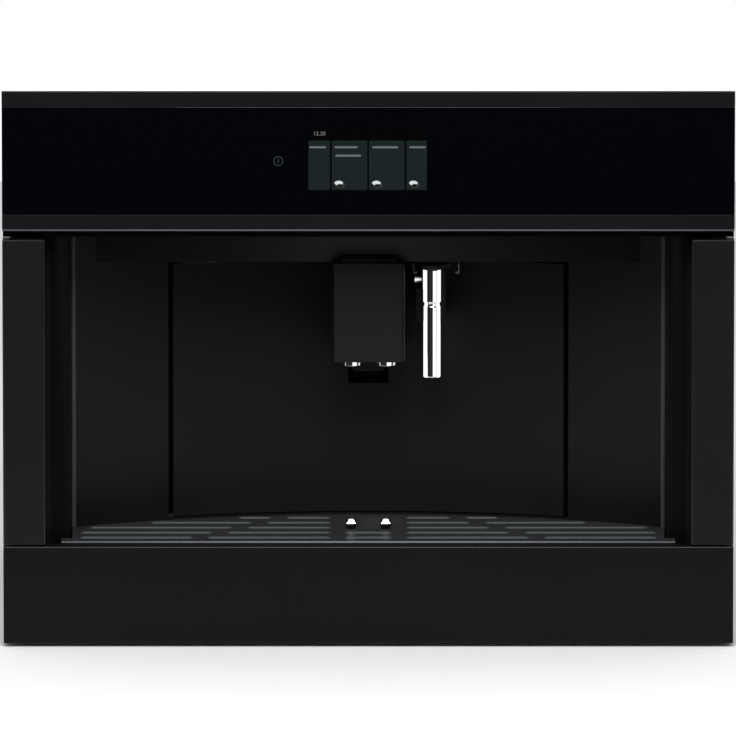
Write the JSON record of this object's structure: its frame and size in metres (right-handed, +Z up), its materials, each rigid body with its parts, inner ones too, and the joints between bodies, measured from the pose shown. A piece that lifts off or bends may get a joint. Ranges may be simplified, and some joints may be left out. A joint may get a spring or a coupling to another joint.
{
  "type": "built-in coffee machine",
  "caption": "Built-in coffee machine with a curved cup alcove, service door, height-adjustable coffee spout, hot water spout and drip tray, on telescopic runners.",
  "frame": {"origin": "middle of the overall box in X and Y, on the niche floor that the runner base stands on", "axes": "+X to the viewer's right, -Y towards the person who uses it, +Z up"},
  "size_m": [0.595, 0.475, 0.458],
  "materials": {
    "dark_steel": "brushed and dark tinted, satin",
    "polished_steel": "polished",
    "black_glass": "polished black back-printed glass",
    "display_glass": "display face",
    "circuit_board": "fibreglass board",
    "zinc_steel": "zinc coated sheet",
    "alcove_plastic": "satin anthracite",
    "grille_plastic": "satin grey",
    "black_plastic": "fine matt",
    "grey_plastic": "satin grey",
    "clear_plastic": "clear smoke tint",
    "boiler_metal": "cast",
    "magnet_metal": "coated"
  },
  "bodies": {
    "base": {"runner_base": "zinc_steel", "rail_outer": "zinc_steel"},
    "rail_middle": {"rail_middle": "zinc_steel"},
    "machine": {"alcove_shell": "alcove_plastic", "bean_hopper": "black_plastic", "boiler": "boiler_metal", "brew_deck": "black_plastic", "chassis_base": "zinc_steel", "control_board": "circuit_board", "control_glass": "black_glass", "display_module": "display_glass", "door_magnet": "magnet_metal", "front_frame": "zinc_steel", "grinder": "black_plastic", "grinder_stand": "zinc_steel", "ground_chute": "black_plastic", "grounds_bin": "black_plastic", "handle_left": "dark_steel", "handle_right": "dark_steel", "header_fascia": "alcove_plastic", "hinge_brackets": "zinc_steel", "infuser": "grey_plastic", "infuser_bracket": "zinc_steel", "lid_hinges": "zinc_steel", "mains_inlet": "black_plastic", "panel_housing": "black_plastic", "plinth_panel": "dark_steel", "polished_lip": "polished_steel", "power_board": "circuit_board", "pump": "black_plastic", "rail_inner": "zinc_steel", "rear_panel": "zinc_steel", "side_panel_left": "zinc_steel", "side_panel_right": "zinc_steel", "switch_frame": "black_plastic", "tank_dock": "black_plastic", "top_cover": "zinc_steel", "trim_bottom": "dark_steel", "trim_top": "dark_steel"},
    "service_door": {"service_door": "alcove_plastic", "water_connector": "black_plastic"},
    "coffee_spout": {"spout_cover": "dark_steel", "spout_base": "black_plastic", "spout_nozzles": "polished_steel", "spout_carriage": "black_plastic"},
    "water_spout": {"water_spout_body": "black_plastic", "water_spout_cap": "grey_plastic", "water_tube": "polished_steel"},
    "release_button": {"release_button": "polished_steel"},
    "drip_tray": {"drip_tray": "black_plastic"},
    "cup_grille": {"cup_grille": "grille_plastic", "drain_inlets": "polished_steel"},
    "water_tank": {"water_tank": "clear_plastic", "tank_hinge": "zinc_steel"},
    "tank_lid": {"tank_lid": "grey_plastic"},
    "bean_lid": {"bean_lid": "black_plastic"},
    "chute_lid": {"chute_lid": "black_plastic"},
    "grind_dial": {"grind_dial": "black_plastic"},
    "main_switch": {"main_switch": "black_plastic"}
  },
  "joints": [
    {"name": "pull_out", "type": "slide", "parent": "base", "child": "machine", "axis": [0, -1, 0], "range_m": [0, 0.26]},
    {"name": "rail_middle_slide", "type": "slide", "parent": "base", "child": "rail_middle", "axis": [0, -1, 0], "range_m": [0, 0.13]},
    {"name": "door_swing", "type": "hinge", "parent": "machine", "child": "service_door", "pos_m": [-0.1554, -0.1104, 0.19], "axis": [0, 0, -1], "range_deg": [0, 90]},
    {"name": "spout_height", "type": "slide", "parent": "service_door", "child": "coffee_spout", "axis": [0, 0, -1], "range_m": [0, 0.055]},
    {"name": "water_spout_pull", "type": "slide", "parent": "service_door", "child": "water_spout", "axis": [0, -1, 0], "range_m": [0, 0.028]},
    {"name": "release_press", "type": "slide", "parent": "water_spout", "child": "release_button", "axis": [1, 0, 0], "range_m": [0, 0.003], "stiffness_N_per_m": 300},
    {"name": "tray_lift", "type": "slide", "parent": "machine", "child": "drip_tray", "axis": [0, 0, -1], "range_m": [-0.036, 0]},
    {"name": "grille_lift", "type": "slide", "parent": "drip_tray", "child": "cup_grille", "axis": [0, 0, -1], "range_m": [-0.03, 0]},
    {"name": "tank_lift", "type": "slide", "parent": "machine", "child": "water_tank", "axis": [0, 0, 1], "range_m": [0, 0.2]},
    {"name": "tank_lid_hinge", "type": "hinge", "parent": "water_tank", "child": "tank_lid", "pos_m": [-0.208, 0.1015, 0.3741], "axis": [-1, 0, 0], "range_deg": [0, 95]},
    {"name": "bean_lid_hinge", "type": "hinge", "parent": "machine", "child": "bean_lid", "pos_m": [0.165, 0.0935, 0.3753], "axis": [-1, 0, 0], "range_deg": [0, 95]},
    {"name": "chute_lid_hinge", "type": "hinge", "parent": "machine", "child": "chute_lid", "pos_m": [0.02, 0.0045, 0.3753], "axis": [-1, 0, 0], "range_deg": [0, 95]},
    {"name": "grind_turn", "type": "hinge", "parent": "machine", "child": "grind_dial", "pos_m": [0.062, 0.0025, 0.378], "axis": [0, 0, 1], "range_deg": [0, 270]},
    {"name": "switch_rock", "type": "hinge", "parent": "machine", "child": "main_switch", "pos_m": [-0.19, 0.2315, 0.107], "axis": [-1, 0, 0], "range_deg": [0, 18]}
  ],
  "couplings": [
    {"joint": "rail_middle_slide", "follows": "pull_out", "ratio": 0.5}
  ]
}
